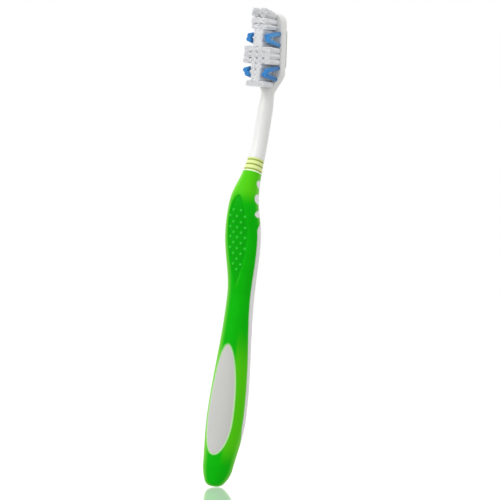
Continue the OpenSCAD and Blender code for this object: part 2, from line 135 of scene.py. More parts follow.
def buttShare(z):
    # the butt's share of its full section: the flat's at the floor, then out on a quarter circle to a power
    return mix(body["buttFlat"] / body["buttWidth"], 1, quarter(z / body["buttRound"]) ** body["buttPower"])


def halfWidth(z):
    return np.where(z > throatZ, headHalf(z), smoothCurve(bodyRows, z, 1) * buttShare(z))


def halfDepth(z):
    # the plate's rim draws in a little over the very end of the head
    rim = mix(head["edgeShare"], 1, quarter((tipZ - z) / head["edgeRound"]))
    return smoothCurve(bodyRows, z, 2) * buttShare(z) * rim


def bowAt(z):
    # how far the section's middle lies behind the flat's centre
    bow = np.where(z < plateZ, smoothCurve(bodyRows, z, 3), bodyRows[-1, 3] - (z - plateZ) * plateSlope)
    return bow + body["flatShift"] * ease(z / body["buttRound"])


def onBody(z, angle, sunk):
    # superellipse section: x is half width times sin to a power, y is half depth times cos to it;
    # the section's plane leans with the bow, and sunk moves the point in from the outside
    z, angle = np.broadcast_arrays(np.asarray(z, float), angle)
    headness = ease(2 * (z - throatZ) / head["flareLen"])
    power = 2 / mix(*head["squareness"], headness)
    c, s = np.cos(angle), np.sin(angle)
    lean = np.arctan((bowAt(z + slopeStep) - bowAt(z)) / slopeStep)
    x = (halfWidth(z) - sunk) * np.sign(s) * np.abs(s) ** power
    flat = np.minimum(1, mix(1, head["flatness"], headness) * np.abs(c) ** power)
    y = -(halfDepth(z) - sunk) * np.sign(c) * flat
    return np.stack([x, bowAt(z) + y * np.cos(lean), z - y * np.sin(lean)], -1)


def fromHead(p):
    # turns points in the tilted plate's own frame into the brush's: that frame starts at the throat on
    # the plate's front, with y to the back and z up the plate
    t, up = head["tilt"], (throatZ - plateZ) / math.cos(head["tilt"])
    y, z = p[..., 1] - head["plateThick"] / 2, p[..., 2] + up
    back = y * math.cos(t) - z * math.sin(t) + float(bowAt(np.array(plateZ)))
    return np.stack([p[..., 0], back, y * math.sin(t) + z * math.cos(t) + plateZ], -1)


def egg(z, shape):
    # half width of an egg: an ellipse to a power, with one power below its widest place and one above
    low, wide, top = shape["low"], shape["wide"], shape["top"]
    far = np.where(z < wide, (wide - z) / (wide - low), (z - wide) / (top - wide))
    return shape["width"] / 2 * np.maximum(0, 1 - far ** 2) ** np.where(z < wide, *shape["powers"])


scallopTop = collarZ - gripEdges["scallopDrop"]
scallops = [(scallopTop - k * gripEdges["scallopPitch"], share * gripEdges["scallopRadius"])
            for k, share in enumerate(gripEdges["scallopShares"])]


def gripEdge(z):
    # angle of the grip's edge from the front: smooth between stations, less a round bite at each
    # scallop, and right round the back at the boot
    g = gripEdges
    tailTop = body["bootTop"] + body["tailLen"]
    drawIn = mix(body["palm"][0], body["waist"][0], g["drawInShare"])
    lobe = scallopTop - g["lobePitches"] * g["scallopPitch"]
    stations = np.array([
        (tailTop, g["palm"]), (drawIn, g["palm"]), (body["waist"][0], g["thumb"]),
        (lobe - g["lobeRun"], g["thumb"]), (lobe, g["lobe"]), (collarZ, g["lobe"]),
    ], float)
    bites = sum(np.sqrt(np.maximum(0, 1 - ((z - at) / r) ** 2)) for at, r in scallops)
    tail = mix(180, g["palm"], quarter((z - body["bootTop"]) / body["tailLen"]))
    edge = np.where(z < tailTop, tail, smoothCurve(stations, z, 1) - (g["lobe"] - g["scallop"]) * bites)
    return np.radians(np.where(z <= body["bootTop"], 180, edge))


def windowEdge(z):
    # angle at which the window's egg, seen from the front, meets the handle's outside
    return np.arcsin(np.minimum(1, egg(z, window) / halfWidth(z)))


def padSunk(z, angle):
    # depth of the thumb pad, which eases down from its egg's outline over the slope's width
    return pad["depth"] * ease((egg(z, pad) - halfWidth(z) * np.abs(np.sin(angle))) / pad["slope"])


# Mesh tools.

meshLook = {"mergeWithin": 0.002, "crease": math.radians(40)}


def newObject(name, data):
    thing = bpy.data.objects.new(name, data)
    bpy.context.collection.objects.link(thing)
    return thing


def setMark(mesh, name, values):
    # one number for each point, which the material reads by that name
    layer = mesh.attributes.new(name, "FLOAT", "POINT")
    layer.data.foreach_set("value", np.ravel(values).astype(np.float32))


class Shell:
    # collects grids of points and their faces, then makes one merged and closed mesh of them
    def __init__(self, *marks):
        self.points, self.faces, self.count = [], [], 0
        self.marks = {name: [] for name in marks}

    def add(self, grid, **marks):
        rows, cols = grid.shape[:2]
        i, j = np.meshgrid(np.arange(rows - 1), np.arange(cols - 1), indexing="ij")
        a = self.count + i * cols + j
        self.faces += np.stack([a, a + 1, a + cols + 1, a + cols], -1).reshape(-1, 4).tolist()
        self.points.append(grid.reshape(-1, 3))
        for name, values in self.marks.items():
            values.append(np.broadcast_to(marks.get(name, 0.0), (rows, cols)).ravel())
        self.count += rows * cols

    def lid(self, ring, shares=(1, 0.7, 0.4, 0.15, 0)):
        # closes a ring of points with rings that shrink to its middle
        middle = ring.mean(0)
        self.add(middle + (ring - middle)[None] * np.array(shares)[:, None, None])

    def zipper(self, one, other):
        # triangles between two rows of points with different counts
        m, n = len(one), len(other)
        a, b = self.count + np.arange(m), self.count + m + np.arange(n)
        match = np.round(np.arange(m) * (n - 1) / (m - 1)).astype(int)
        self.points.append(np.concatenate([one, other]))
        self.faces += [[int(a[k]), int(a[k + 1]), int(b[match[k]])] for k in range(m - 1)]
        self.faces += [[int(a[k + 1]), int(b[match[k + 1]]), int(b[match[k]])]
                       for k in range(m - 1) if match[k] != match[k + 1]]
        for values in self.marks.values():
            values.append(np.zeros(m + n))
        self.count += m + n

    def build(self, name):
        mesh = bpy.data.meshes.new(name)
        mesh.from_pydata((np.concatenate(self.points) * mm).tolist(), [], self.faces)
        for mark, values in self.marks.items():
            setMark(mesh, mark, np.concatenate(values))
        bm = bmesh.new()
        bm.from_mesh(mesh)
        bmesh.ops.remove_doubles(bm, verts=bm.verts, dist=meshLook["mergeWithin"] * mm)
        bmesh.ops.recalc_face_normals(bm, faces=bm.faces)
        bm.to_mesh(mesh)
        bm.free()
        mesh.shade_smooth()
        mesh.set_sharp_from_angle(angle=meshLook["crease"])
        return newObject(name, mesh)


def heights(*spans, near=(), reach=1.2, count=8, closest=0.015):
    # heights in even steps, which also crowd towards the given places from both sides
    parts = [np.arange(a, b, step) for a, b, step in spans] + [np.array([spans[-1][1]])]
    crowd = reach * (np.arange(count) / (count - 1)) ** 2
    parts += [at + side * crowd for at in near for side in (-1, 1)]
    z = np.unique(np.round(np.concatenate(parts), 3))
    z = z[(z >= spans[0][0]) & (z <= spans[-1][1])]
    exact = np.isin(z, np.round([*near, spans[0][0], spans[-1][1]], 3))
    return z[np.concatenate([[True], np.diff(z) > closest]) | exact]


def nearest(points, curve, chunk=2000):
    # distance from each point to the nearest of a curve's points
    flat = points.reshape(-1, 3)
    near = [np.sqrt(((flat[i:i + chunk, None] - curve[None]) ** 2).sum(-1).min(1))
            for i in range(0, len(flat), chunk)]
    return np.concatenate(near).reshape(points.shape[:-1])


def roundOver(far, radius):
    # how far a rounded edge sinks at a distance from the edge: a quarter circle
    return radius - np.sqrt(radius ** 2 - (radius - np.minimum(far, radius)) ** 2)


def finish(piece, material, slot, *nodes):
    piece.data.materials.append(material)
    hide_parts(*nodes)
    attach(piece, "root")


# Materials. In their dictionaries, a value under a socket's own name is set on that socket.

def linear(code):
    # sRGB hex to linear colour
    c = np.array([int(code[i:i + 2], 16) / 255 for i in (1, 3, 5)])
    return (*np.where(c <= 0.04045, c / 12.92, ((c + 0.055) / 1.055) ** 2.4).tolist(), 1.0)


def newMaterial(name):
    material = bpy.data.materials.new(name)
    material.use_nodes = True
    return material, material.node_tree, material.node_tree.nodes["Principled BSDF"]


def setNode(node, settings, links):
    # sets a node's properties and sockets, and links its sockets to other nodes' outputs
    for key, value in settings.items():
        if isinstance(key, str) and hasattr(node, key):
            setattr(node, key, value)
        else:
            node.inputs[key].default_value = value
    for key, source in links.items():
        node.id_data.links.new(source, node.inputs[key])


def addNode(tree, kind, settings=None, links=None, stops=()):
    # adds a node with its settings and links, and with a colour ramp's stops
    node = tree.nodes.new(kind)
    setNode(node, settings or {}, links or {})
    for k, (place, code) in enumerate(stops):
        element = node.color_ramp.elements[k]
        element.position, element.color = place, linear(code)
    return node


def patches(tree, size, detail=2.0):
    # a pattern fixed to the piece, of soft patches that many millimetres across
    place = addNode(tree, "ShaderNodeTexCoord").outputs["Object"]
    settings = {"Scale": 1 / (size * mm), "Detail": detail}
    return addNode(tree, "ShaderNodeTexNoise", settings, {"Vector": place}).outputs["Fac"]


def relief(tree, size, depth, detail=2.0, strength=1.0):
    # waves or grit of that size and depth in millimetres, which tip the surface's normal
    settings = {"Strength": strength, "Distance": depth * mm}
    links = {"Height": patches(tree, size, detail)}
    return addNode(tree, "ShaderNodeBump", settings, links).outputs["Normal"]


def tint(tree, base, mark, code):
    # base colour that turns to another where the mesh's mark rises to 1
    share = addNode(tree, "ShaderNodeAttribute", {"attribute_name": mark}).outputs["Fac"]
    settings = {"data_type": "RGBA", 7: linear(code)}
    return addNode(tree, "ShaderNodeMix", settings, {0: share, 6: base}).outputs[2]


plasticLook = {
    "cloudSize": 9, "cloudDetail": 1.0, "tones": ((0.2, "#E6E6E3"), (0.8, "#EAEAE8")),
    "landTone": "#C9C9C5", "waveSize": 1.6, "waveDepth": 0.004,
    "roughness": {"From Min": 0.3, "From Max": 0.7, "To Min": 0.28, "To Max": 0.32},
    "sockets": {
        "IOR": 1.49, "Subsurface Weight": 0.2, "Subsurface Scale": 0.8 * mm,
        "Subsurface Radius": (1.0, 0.95, 0.9),
    },
}


def mouldedPolypropylene():
    # injection-moulded polypropylene: white, a little translucent, glossy, with faint flow waves, and
    # a little greyer on the window's land
    look = plasticLook
    material, tree, shader = newMaterial("mouldedPolypropylene")
    cloud = patches(tree, look["cloudSize"], look["cloudDetail"])
    base = addNode(tree, "ShaderNodeValToRGB", None, {"Fac": cloud}, look["tones"]).outputs["Color"]
    rough = addNode(tree, "ShaderNodeMapRange", look["roughness"], {"Value": cloud}).outputs["Result"]
    setNode(shader, look["sockets"], {
        "Base Color": tint(tree, base, "landTone", look["landTone"]), "Roughness": rough,
        "Normal": relief(tree, look["waveSize"], look["waveDepth"]),
    })
    return material


rubberLook = {
    "cloudSize": 6, "gritSize": 0.25, "gritDepth": 0.012, "gritDetail": 3.0,
    "roughness": {"From Min": 0.3, "From Max": 0.7, "To Min": 0.4, "To Max": 0.5},
    # where the painted rim highlight starts and how strong it gets, by how far the surface turns from the
    # camera
    "rimHighlight": {"From Min": 0.3, "From Max": 0.85, "To Max": 0.9},
    "sockets": {"IOR": 1.5, "Specular IOR Level": 0.08},
}
# painted light in these tints: the colours at a low angle are painted rim highlights, the colours where the
# rubber is sunk are painted shade in the thumb pad and in the collar's grooves, the dot colour is a painted
# highlight on the dots, the thin-skin colour is also painted top light over the shoulder, and the lime's edge
# colour is a painted highlight on the collar's lower rim
rubberTones = {
    "green": {
        "base": ((0.3, "#03B400"), (0.7, "#06BC02")), "rimHighlight": "#8CE04C", "thinSkinAndTopLight": "#5AD008",
        "dotHighlight": "#3CDA44", "sunkFloor": "#02AC02", "thinEdge": "#D2F4B8",
    },
    "lime": {
        "base": ((0.3, "#E4F2A0"), (0.7, "#E8F4A8")), "rimHighlight": "#EAF6B4",
        "sunkFloor": "#92A838", "thinEdge": "#E6FACA",
    },
    "pale": {"base": ((0.3, "#B4C2AE"), (0.7, "#BECBB8")), "rimHighlight": "#C4D0BE"},
}


def softRubber(name, tones):
    # thermoplastic rubber from an eroded tool: satin with an even grit, yellower where the white core
    # shines through a thin skin, with painted top light over the shoulder, a painted rim highlight at a
    # low angle, painted highlights on the dots, painted shade where it is sunk, and paler at its edges,
    # which on the collar's lower rim is a painted highlight
    look = rubberLook
    material, tree, shader = newMaterial(name)
    cloud = patches(tree, look["cloudSize"])
    base = addNode(tree, "ShaderNodeValToRGB", None, {"Fac": cloud}, tones["base"]).outputs["Color"]
    # yellower where the palm's skin is thin, and painted top light over the shoulder
    if "thinSkinAndTopLight" in tones:
        base = tint(tree, base, "thinSkinAndTopLight", tones["thinSkinAndTopLight"])
    # painted rim highlight: the colour turns lighter where the surface turns away from the camera
    facing = addNode(tree, "ShaderNodeLayerWeight", {"Blend": 0.5}).outputs["Facing"]
    share = addNode(tree, "ShaderNodeMapRange", look["rimHighlight"], {"Value": facing}).outputs["Result"]
    settings = {"data_type": "RGBA", 7: linear(tones["rimHighlight"])}
    base = addNode(tree, "ShaderNodeMix", settings, {0: share, 6: base}).outputs[2]
    # painted highlight on the dots, painted shade in recesses, and paler edges, each where its mark rises
    for mark in ("dotHighlight", "sunkFloor", "thinEdge"):
        if mark in tones:
            base = tint(tree, base, mark, tones[mark])
    rough = addNode(tree, "ShaderNodeMapRange", look["roughness"], {"Value": cloud}).outputs["Result"]
    grit = relief(tree, look["gritSize"], look["gritDepth"], look["gritDetail"])
    setNode(shader, look["sockets"], {"Base Color": base, "Roughness": rough, "Normal": grit})
    return material


nylonLook = {
    "tipPlace": 0.75, "waveSize": 0.3, "waveDepth": 0.01, "waveStrength": 0.4,
    "sockets": {"IOR": 1.53, "Roughness": 0.32, "Sheen Roughness": 0.6},
}
nylonTones = {
    "white": {"root": "#F8F9FC", "tip": "#FAFBFD", "pale": "#FEFEFF", "sheen": 1.0},
    "blue": {"root": "#0058AC", "tip": "#0884D8", "pale": "#70C8F6", "sheen": 0.0},
}


def drawnNylon(name, tones):
    # drawn nylon filament: smooth, each strand its own tone, paler to the tip, with a soft sheen on
    # the white that stands in for the light that thin filaments pass on to each other
    look = nylonLook
    material, tree, shader = newMaterial(name)
    along = addNode(tree, "ShaderNodeAttribute", {"attribute_name": "alongStrand"}).outputs["Fac"]
    stops = ((0.0, tones["root"]), (look["tipPlace"], tones["tip"]))
    base = addNode(tree, "ShaderNodeValToRGB", None, {"Fac": along}, stops).outputs["Color"]
    setNode(shader, {**look["sockets"], "Sheen Weight": tones["sheen"]}, {
        "Base Color": tint(tree, base, "strandTone", tones["pale"]),
        "Normal": relief(tree, look["waveSize"], look["waveDepth"], strength=look["waveStrength"]),
    })
    return material


brassLook = {
    "cloudSize": 0.5, "tones": ((0.35, "#C9A35A"), (0.65, "#D9B56C")), "grainSize": 0.12, "grainDepth": 0.003,
    "sockets": {"Metallic": 1.0, "Roughness": 0.28},
}


def drawnBrass():
    # flat brass wire, drawn bright, with a fine grain
    look = brassLook
    material, tree, shader = newMaterial("drawnBrass")
    cloud = patches(tree, look["cloudSize"])
    base = addNode(tree, "ShaderNodeValToRGB", None, {"Fac": cloud}, look["tones"]).outputs["Color"]
    grain = relief(tree, look["grainSize"], look["grainDepth"])
    setNode(shader, look["sockets"], {"Base Color": base, "Normal": grain})
    return material


polypropylene = mouldedPolypropylene()
greenRubber = softRubber("satinGreenRubber", rubberTones["green"])
limeRubber = softRubber("satinLimeRubber", rubberTones["lime"])
paleRubber = softRubber("satinPaleRubber", rubberTones["pale"])
whiteNylon = drawnNylon("drawnWhiteNylon", nylonTones["white"])
blueNylon = drawnNylon("drawnBlueNylon", nylonTones["blue"])
brass = drawnBrass()
print("materials made")

# Handle core: one grid of rows up the brush. Its columns run round under the grip, over the bare
# land in the window, under the grip again and over the bare back.

coreLook = {
    "step": 0.6, "headStep": 0.4, "tipStep": 0.1, "tipRun": 1, "landSunk": 0.06, "landCrown": 0.1,
    "hiddenCols": 20, "landCols": 30, "backCols": 50, "holeSides": 24,
}
lobeAngle = math.radians(gripEdges["lobe"])
scallopEnds = [at + side * r for at, r in scallops for side in (-1, 1)]
edgePlaces = [window["low"], window["top"], body["bootTop"], *scallopEnds]  # where an edge turns sharply


def coreRows(z, fromWindow, toBack, hidden, land, back):
    # the points of rows at heights z: the angles say where the window ends and the back starts, and
    # the rest how far the core is sunk under the grip, on the land and on the back
    z, a, b = z[:, None], fromWindow[:, None], toBack[:, None]
    t = np.linspace(0, 1, coreLook["hiddenCols"])[None]
    u = np.linspace(-1, 1, coreLook["landCols"])[None]
    v = np.linspace(0, 1, coreLook["backCols"])[None]
    left, right = onBody(z, -mix(b, a, t), hidden[:, None]), onBody(z, mix(a, b, t), hidden[:, None])
    crown = coreLook["landCrown"] * (1 - u ** 2) * (a > 0)
    middle = onBody(z, a * u, land[:, None] - crown)
    behind = onBody(z, mix(b, 2 * math.pi - b, v), back[:, None])
    return np.concatenate([left, middle, right, behind, left[:, :1]], 1)


def makeCore():
    c, shell, grip = coreLook, Shell("landTone"), body["gripThick"]
    z = heights((body["capThick"], collarZ, c["step"]), near=edgePlaces)
    inWindow, aboveBoot = (z > window["low"]) & (z < window["top"]), z > body["bootTop"]
    handle = coreRows(z, windowEdge(z), gripEdge(z), np.full(len(z), grip),
                      np.where(inWindow, c["landSunk"], grip), np.where(aboveBoot, 0, grip))
    tipLow = tipZ - c["tipRun"]
    zCollar = np.array([collarZ, mix(collarZ, neckZ, 0.5), neckZ])
    zBare = heights((neckZ, throatZ, c["step"]), (throatZ, tipLow, c["headStep"]),
                    (tipLow, tipZ, c["tipStep"]), near=[tipZ])
    bare = [coreRows(zs, 0 * zs, 0 * zs + lobeAngle, *[0 * zs + sunk] * 3)
            for zs, sunk in ((zCollar, body["collarThick"]), (zBare, 0.0))]
    rows = np.concatenate([handle, *bare])
    tone = np.zeros(rows.shape[:2])
    tone[:len(z), c["hiddenCols"] + 1:c["hiddenCols"] + c["landCols"] - 1] = inWindow[:, None]
    shell.add(rows, landTone=tone)
    shell.lid(rows[0])
    return shell.build("whiteCore")


# Tufts: rows from the throat to the tip, with places as shares of the row's half width, and the
# blue ones marked. A number in lean is the way in which that row's blue tufts lean.

tufts = {
    "firstRow": 3.5, "pitch": 2.26, "margin": 1.45, "holeWidth": 1.7, "holeDepth": 3,
    "length": 10, "tipRise": 0.8, "risingRows": 2, "blueLean": 1.65, "tipLean": 0.95,
    "lean": (0, 1, 0, -1, 0, 0, 0, 1, 0, -1, 0, 0, 0),
    "rows": ("heel", "blue", "inner", "blue", "full", "full", "full",
             "blue", "inner", "blue", "narrow", "narrow", "tip"),
}
rowPlaces = {
    "heel": [(-1, 0), (0, 0), (1, 0)], "inner": [(-0.333, 0), (0.333, 0)],
    "narrow": [(-0.55, 0), (0, 0), (0.55, 0)], "tip": [(-0.6, 0), (0.6, 0)],
    "blue": [(-1, 1), (-0.333, 0), (0.333, 0), (1, 1)], "full": [(-1, 0), (-0.333, 0), (0.333, 0), (1, 0)],
}
# how far a tuft's outermost filaments spread at their tips, across and along the head, by the kind of
# its row, and how far the tips of the white ones between the blue gather to the middle
fans = {
    "blueTuft": (0.25, 0.25), "heel": (0.85, 0.45), "full": (0.85, 0.45), "blue": (0.5, 0.45),
    "inner": (0.5, 0.45), "narrow": (0.45, 0.45), "tip": (0.95, 1.1),
}
gather = {"blue": 0.5, "inner": 0.5}


def listTufts():
    places = []
    for i, kind in enumerate(tufts["rows"]):
        z = tufts["firstRow"] + i * tufts["pitch"]
        half = float(headHalf(throatZ + z * math.cos(head["tilt"]))) - tufts["margin"]
        for k, (share, blue) in enumerate(rowPlaces[kind]):
            places.append({
                "node": f"{'blue' if blue else 'white'}_tuft_row{i + 1}_{k + 1}",
                "x": share * half, "z": z, "blue": blue, "fan": fans["blueTuft" if blue else kind],
                "lean": tufts["lean"][i] * tufts["blueLean"] * blue + tufts["tipLean"] * (kind == "tip"),
                "rise": tufts["tipRise"] * (i >= len(tufts["rows"]) - tufts["risingRows"]),
                "gather": 0 if blue else -gather.get(kind, 0) * np.sign(share),
            })
    return places


tuftList = listTufts()


def cutHoles(piece):
    # one exact boolean with a single cutter: a straight prism for each hole
    turn = np.linspace(0, 2 * math.pi, coreLook["holeSides"] + 1)
    r, cutter = tufts["holeWidth"] / 2, Shell()
    for t in tuftList:
        ring = np.stack([t["x"] + r * np.cos(turn), 0 * turn, t["z"] + r * np.sin(turn)], -1)
        low, high = ring + [0, tufts["holeDepth"], 0], ring - [0, head["plateThick"], 0]
        cutter.add(fromHead(np.stack([low.mean(0) + 0 * low, low, high, high.mean(0) + 0 * high])))
    tool = cutter.build("holeCutter")
    cut = piece.modifiers.new("tuftHoles", "BOOLEAN")
    cut.operation, cut.solver, cut.object = "DIFFERENCE", "EXACT", tool
    shown = piece.evaluated_get(bpy.context.evaluated_depsgraph_get())
    piece.data = bpy.data.meshes.new_from_object(shown)
    piece.modifiers.clear()
    bpy.data.objects.remove(tool)
    piece.data.set_sharp_from_angle(angle=meshLook["crease"])


core = makeCore()
cutHoles(core)
finish(core, polypropylene, "handle_plastic", "handle_core")
print("core made")

# Front grip: a fine skin over the core from the window's edge to the grip's edge, with rounded
# edges, a small bead round the window and the sunk thumb pad with its domed dots.

gripLook = {
    "edgeRound": 0.3, "flatRound": 1.6, "beadHeight": 0.16, "beadFar": 0.5, "beadWidth": 0.28,
    "dotLow": 89.1, "dotRows": 12, "dotPitch": 2.1, "dotGap": 3.4, "dotWidth": 1.4, "dotTopShare": 0.6,
    "dotHeight": 0.4, "dotPower": 0.6,
}
# steps of the skin's rows, in millimetres, and its columns as shares of the way from the window's edge
gripGrid = {
    "buttRun": 3, "buttStep": 0.15, "step": 0.5, "padMargin": 1, "padStep": 0.16, "shoulderStep": 0.3,
    "edgeCols": (0, 0.004, 0.012, 0.024, 0.042, 0.065), "frontCols": (0.08, 0.6, 0.0135),
    "sideCols": (0.6, 0.93, 0.03), "liningCols": 9,
    "windowReach": 2, "bootReach": 1, "sideFrom": 0.55, "farAway": 9.0,
}
# how strong each tint is, and where it starts and ends: heights in millimetres and angles in degrees
gripTints = {
    "rim": {"share": 0.9, "width": 0.42}, "side": {"share": 0.4, "width": 0.2}, "dot": 0.85,
    "palm": {"share": 0.8, "low": 8, "lowRun": 10, "top": 66, "topRun": 20, "angle": 25, "angleRun": 12},
    # over the shoulder this tint is painted top light
    "shoulder": {"share": 0.75, "low": 114, "run": 5},
}


def dotCentres():
    # a staggered field: three and two dots in turn, as far as the pad is wide enough
    g, places = gripLook, []
    for i in range(g["dotRows"]):
        z = g["dotLow"] + i * g["dotPitch"]
        for k in ((-1, 0, 1) if i % 2 == 0 else (-0.5, 0.5)):
            if abs(k) * g["dotGap"] + g["dotTopShare"] * g["dotWidth"] < egg(z, pad):
                places.append((z, math.asin(k * g["dotGap"] / halfWidth(z))))
    z, angle = np.array(places).T
    return onBody(z, angle, padSunk(z, angle))


def dotDomes(skin, z):
    # how far the dots stand out: domes, each 1 less the squared share of the way out, to a power
    g, dome = gripLook, np.zeros(skin.shape[:2])
    inPad = (z > pad["low"]) & (z < pad["top"])
    for centre in dotCentres():
        far = np.linalg.norm(skin[inPad] - centre, axis=-1) / (g["dotWidth"] / 2)
        one = g["dotHeight"] * np.maximum(0, 1 - far ** 2) ** g["dotPower"]
        dome[inPad] = np.maximum(dome[inPad], one)
    return dome


def edgeDistances(skin, z, t):
    # distances from the window's edge and from the grip's own edge, worked out only near them
    g = gripGrid
    fine = np.unique(np.concatenate([mix(z[:-1], z[1:], share) for share in (0, 0.25, 0.5, 0.75)]))
    rim, side = np.full(skin.shape[:2], g["farAway"]), np.full(skin.shape[:2], g["farAway"])
    nearWindow = (z > window["low"] - g["windowReach"]) & (z < window["top"] + g["windowReach"])
    along = fine[(fine >= window["low"]) & (fine <= window["top"])]
    rim[nearWindow] = nearest(skin[nearWindow], onBody(along, windowEdge(along), 0))
    nearSide = np.ix_(z > body["bootTop"] - g["bootReach"], t[0] > g["sideFrom"])
    along = fine[fine >= body["bootTop"]]
    side[nearSide] = nearest(skin[nearSide], onBody(along, gripEdge(along), 0))
    return rim, side


def gripMarks(rows, angle, rim, side, sunkPad, dome):
    # the tints' shares: both edges fade as bell curves, the painted highlight on the dots and the
    # painted shade on the pad follow their own depth, the skin is thin up the palm's sides, and top light
    # is painted over the shoulder, which faces up
    p, s = gripTints["palm"], gripTints["shoulder"]
    edges = [edge["share"] * np.exp(-(far / edge["width"]) ** 2)
             for edge, far in ((gripTints["rim"], rim), (gripTints["side"], side))]
    palm = ease((rows - p["low"]) / p["lowRun"]) * ease((p["top"] - rows) / p["topRun"])
    palm = palm * ease((np.degrees(angle) - p["angle"]) / p["angleRun"])
    dot = dome / gripLook["dotHeight"]
    return {
        # painted highlight on the dots, strongest on their tops
        "thinEdge": np.maximum(*edges), "dotHighlight": gripTints["dot"] * dot,
        # painted shade on the thumb pad's floor, as strong as the pad is sunk, fading out on the dots
        "sunkFloor": sunkPad / pad["depth"] * (1 - dot),
        # yellower where the skin is thin up the palm's sides, and painted top light over the shoulder
        "thinSkinAndTopLight": np.maximum(p["share"] * palm, s["share"] * ease((rows - s["low"]) / s["run"])),
    }


def makeGrip():
    # One grid for the skin and one for the lining on each side, with walls between them along the
    # window's edge and the grip's own. The skin lies on the handle's outside, sunk by the pad and the
    # rounded edges, and raised by the dots and the bead, which is a bell curve round the window.
    g, c, shell = gripLook, gripGrid, Shell("thinEdge", "sunkFloor", "thinSkinAndTopLight", "dotHighlight")
    thick, cap = body["gripThick"], body["capThick"]
    low, high = pad["low"] - c["padMargin"], pad["top"] + c["padMargin"]
    z = heights((0, c["buttRun"], c["buttStep"]), (c["buttRun"], low, c["step"]), (low, high, c["padStep"]),
                (high, collarZ, c["shoulderStep"]), near=[0, cap, *edgePlaces])
    ends = np.array(c["edgeCols"])
    t = np.concatenate([ends, np.arange(*c["frontCols"]), np.arange(*c["sideCols"]), 1 - ends[::-1]])[None]
    rows, fromWindow, toEdge = z[:, None], windowEdge(z)[:, None], gripEdge(z)[:, None]
    angle = mix(fromWindow, toEdge, t)
    sunkPad = padSunk(rows, angle)
    skin = onBody(rows, angle, sunkPad)
    rim, side = edgeDistances(skin, z, t)
    dome = dotDomes(skin, z)
    bead = g["beadHeight"] * np.exp(-((rim - g["beadFar"]) / g["beadWidth"]) ** 2)
    sunk = sunkPad - dome - bead + roundOver(rim, g["edgeRound"]) + roundOver(side, g["edgeRound"])
    sunk = sunk + roundOver(rows, g["flatRound"])
    outer = onBody(rows, angle, sunk)
    inner = mix(fromWindow, toEdge, np.linspace(0, 1, c["liningCols"])[None])
    lining = onBody(rows[z >= cap], inner[z >= cap], thick)

    marks = gripMarks(rows, angle, rim, side, sunkPad, dome)
    first, last = np.searchsorted(z, [window["low"], window["top"]])
    boot = np.searchsorted(z, body["bootTop"])
    walls = ((slice(first, last + 1), fromWindow, 0), (slice(boot, None), toEdge, -1))
    for mirror in (-1, 1):
        flip = np.array([mirror, 1, 1])
        shell.add(outer * flip, **marks)
        shell.add(lining * flip)
        shell.zipper(outer[-1] * flip, lining[-1] * flip)
        for picked, edge, column in walls:
            depths = np.stack([sunk[picked, column], np.full(len(z[picked]), thick)], 1)
            shell.add(onBody(rows[picked], edge[picked], depths) * flip)
    for ring in (outer[0], lining[0]):
        shell.lid(np.concatenate([(ring * [-1, 1, 1])[::-1], ring]))
    return shell.build("softGrip")


finish(makeGrip(), greenRubber, "grip_rubber", "front_grip")
print("grip made")

# Neck collar: rings with three narrow grooves between wide bands, painted shade in the grooves and a painted
# highlight on the lower rim.

collarLook = {
    "grooves": 3, "depth": 0.4, "width": 0.3, "edgeRound": 0.15, "highlightRun": 0.9, "highlightFade": 0.5,
    "cols": 96, "rows": 72,
}


def makeCollar():
    # sections of the handle's outside, sunk by the rounded ends and by a bell curve at each groove
    c, shell = collarLook, Shell("thinEdge", "sunkFloor")
    z = np.linspace(collarZ, neckZ, c["rows"])[:, None]
    angle = np.linspace(-math.pi, math.pi, c["cols"] + 1)[None]
    centres = collarZ + body["collarLen"] * (np.arange(c["grooves"]) + 0.5) / c["grooves"]
    groove = np.exp(-((z - centres[None]) / c["width"]) ** 2).sum(1, keepdims=True)
    sunk = c["depth"] * groove + roundOver(np.minimum(z - collarZ, neckZ - z), c["edgeRound"])
    outer, inner = onBody(z, angle, sunk), onBody(z, angle, body["collarThick"])
    # painted highlight along the lower rim
    rim = ease((collarZ + c["highlightRun"] - z) / c["highlightFade"])
    # painted shade in the grooves, as strong as each groove is sunk, and a painted highlight on the lower rim
    shell.add(outer, sunkFloor=groove + 0 * angle, thinEdge=rim + 0 * angle)
    shell.add(inner)
    for k in (0, -1):
        shell.add(np.stack([outer[k], inner[k]]))
    return shell.build("neckCollar")


finish(makeCollar(), limeRubber, "collar_rubber", "neck_collar")
print("collar made")

# Tongue pad: a height field on the back of the head, with a rounded rim and ribs across.

tongue = {
    "low": 8.5, "top": 27.7, "round": 3, "margin": 0.25, "thick": 0.7, "edgeRound": 0.35,
    "ribPitch": 2, "ribWidth": 0.7, "ribHeight": 0.35, "ribInset": 0.4, "ribRise": 0.6,
    "rows": 170, "cols": 60,
}


